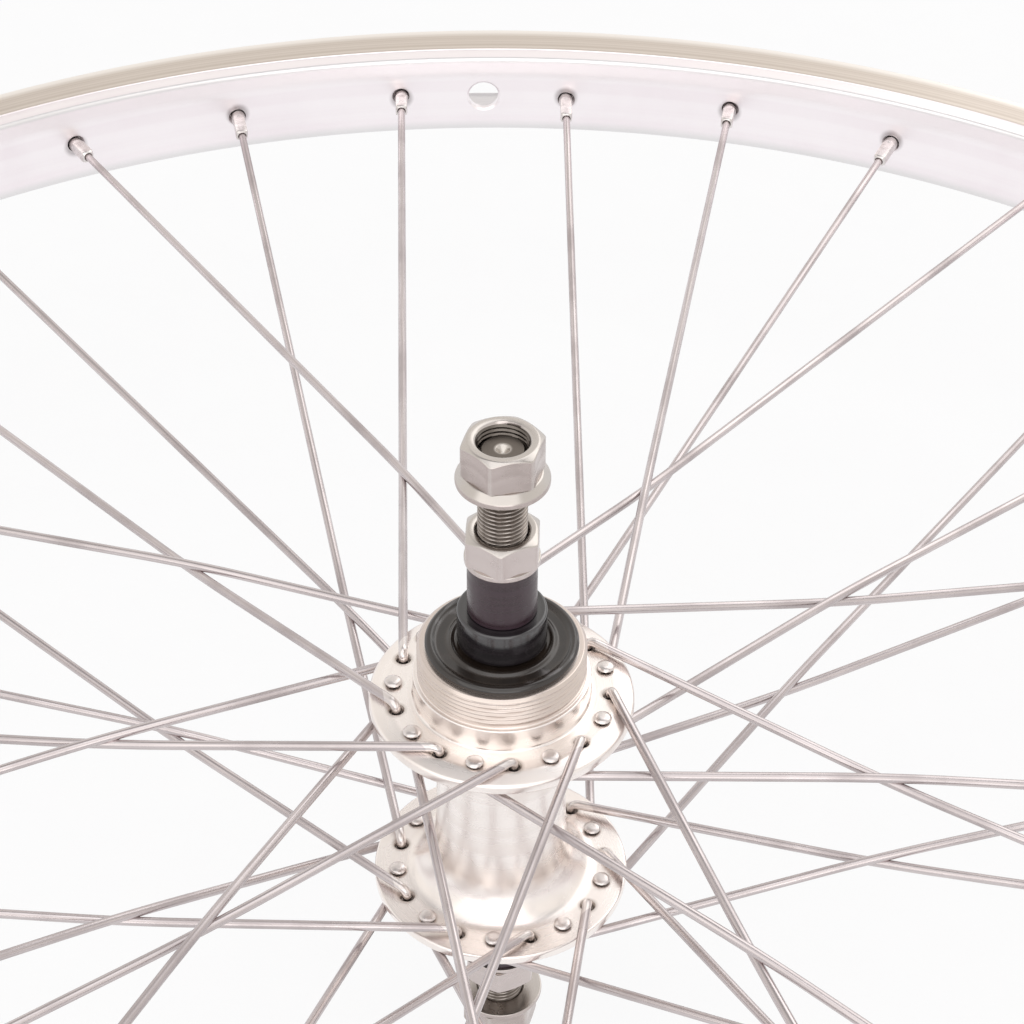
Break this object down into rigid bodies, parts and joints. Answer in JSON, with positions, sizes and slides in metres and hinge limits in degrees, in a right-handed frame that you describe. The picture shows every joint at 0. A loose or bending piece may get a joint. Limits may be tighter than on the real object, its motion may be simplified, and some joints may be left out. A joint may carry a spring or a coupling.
{
  "type": "bicycle wheel",
  "caption": "Rear bicycle wheel without tyre: alloy rim and flanged hub laced three-cross with wire spokes, freewheel thread, sealed bearings and a solid axle with nuts.",
  "frame": {"origin": "on the spin axis, in the middle plane of the rim, half way between the two locknut faces", "axes": "+Z along the spin axis towards the drive side, +Y from the axis to the valve hole, X completes it"},
  "size_m": [0.5699, 0.57, 0.1724],
  "materials": {
    "rim_alloy": "satin anodised",
    "hub_alloy": "polished",
    "spoke_steel": "drawn stainless wire",
    "nipple_brass": "nickel plated brass",
    "axle_steel": "black oxide thread",
    "race_steel": "ground",
    "cap_black": "gloss moulded",
    "collar_black": "black zinc, polished",
    "sleeve_steel": "dark plated, turned",
    "nut_steel": "bright zinc plated"
  },
  "bodies": {
    "axle_set": {"axle": "axle_steel", "bearing_spacer_tube": "race_steel", "drive_bearing_inner_race": "race_steel", "left_bearing_inner_race": "race_steel", "drive_seal_collar": "collar_black", "left_seal_collar": "collar_black", "drive_spacer_sleeve": "sleeve_steel", "left_spacer_sleeve": "sleeve_steel", "drive_lock_washer": "nut_steel", "left_lock_washer": "nut_steel", "drive_locknut": "nut_steel", "left_locknut": "nut_steel"},
    "wheel": {"rim": "rim_alloy", "hub_shell": "hub_alloy", "nipples": "nipple_brass", "drive_bearing_outer_race": "race_steel", "left_bearing_outer_race": "race_steel", "drive_dust_cap": "cap_black", "left_dust_cap": "cap_black", "drive_outer_spoke_1": "spoke_steel", "drive_outer_spoke_2": "spoke_steel", "drive_outer_spoke_3": "spoke_steel", "drive_outer_spoke_4": "spoke_steel", "drive_outer_spoke_5": "spoke_steel", "drive_outer_spoke_6": "spoke_steel", "drive_outer_spoke_7": "spoke_steel", "drive_outer_spoke_8": "spoke_steel", "drive_outer_spoke_9": "spoke_steel", "drive_inner_spoke_1": "spoke_steel", "drive_inner_spoke_2": "spoke_steel", "drive_inner_spoke_3": "spoke_steel", "drive_inner_spoke_4": "spoke_steel", "drive_inner_spoke_5": "spoke_steel", "drive_inner_spoke_6": "spoke_steel", "drive_inner_spoke_7": "spoke_steel", "drive_inner_spoke_8": "spoke_steel", "drive_inner_spoke_9": "spoke_steel", "left_outer_spoke_1": "spoke_steel", "left_outer_spoke_2": "spoke_steel", "left_outer_spoke_3": "spoke_steel", "left_outer_spoke_4": "spoke_steel", "left_outer_spoke_5": "spoke_steel", "left_outer_spoke_6": "spoke_steel", "left_outer_spoke_7": "spoke_steel", "left_outer_spoke_8": "spoke_steel", "left_outer_spoke_9": "spoke_steel", "left_inner_spoke_1": "spoke_steel", "left_inner_spoke_2": "spoke_steel", "left_inner_spoke_3": "spoke_steel", "left_inner_spoke_4": "spoke_steel", "left_inner_spoke_5": "spoke_steel", "left_inner_spoke_6": "spoke_steel", "left_inner_spoke_7": "spoke_steel", "left_inner_spoke_8": "spoke_steel", "left_inner_spoke_9": "spoke_steel"},
    "drive_washer": {"drive_nut_washer": "nut_steel"},
    "drive_nut": {"drive_axle_nut": "nut_steel"},
    "left_washer": {"left_nut_washer": "nut_steel"},
    "left_nut": {"left_axle_nut": "nut_steel"}
  },
  "joints": [
    {"name": "wheel_spin", "type": "hinge", "parent": "axle_set", "child": "wheel", "pos_m": [0, 0, 0], "axis": [0, 0, 1], "continuous": true},
    {"name": "drive_nut_travel", "type": "slide", "parent": "axle_set", "child": "drive_washer", "axis": [0, 0, 1], "range_m": [-0.0118, 0.0035]},
    {"name": "drive_nut_turn", "type": "hinge", "parent": "drive_washer", "child": "drive_nut", "pos_m": [0, 0, 0.083], "axis": [0, 0, 1], "range_deg": [-4255.2, 1267.2]},
    {"name": "left_nut_travel", "type": "slide", "parent": "axle_set", "child": "left_washer", "axis": [0, 0, 1], "range_m": [-0.01, 0.0053]},
    {"name": "left_nut_turn", "type": "hinge", "parent": "left_washer", "child": "left_nut", "pos_m": [0, 0, -0.0765], "axis": [0, 0, 1], "range_deg": [-3607.2, 1915.2]}
  ],
  "couplings": [
    {"joint": "drive_nut_turn", "follows": "drive_nut_travel", "rad_per_m": 6283.2},
    {"joint": "left_nut_turn", "follows": "left_nut_travel", "rad_per_m": 6283.2}
  ]
}
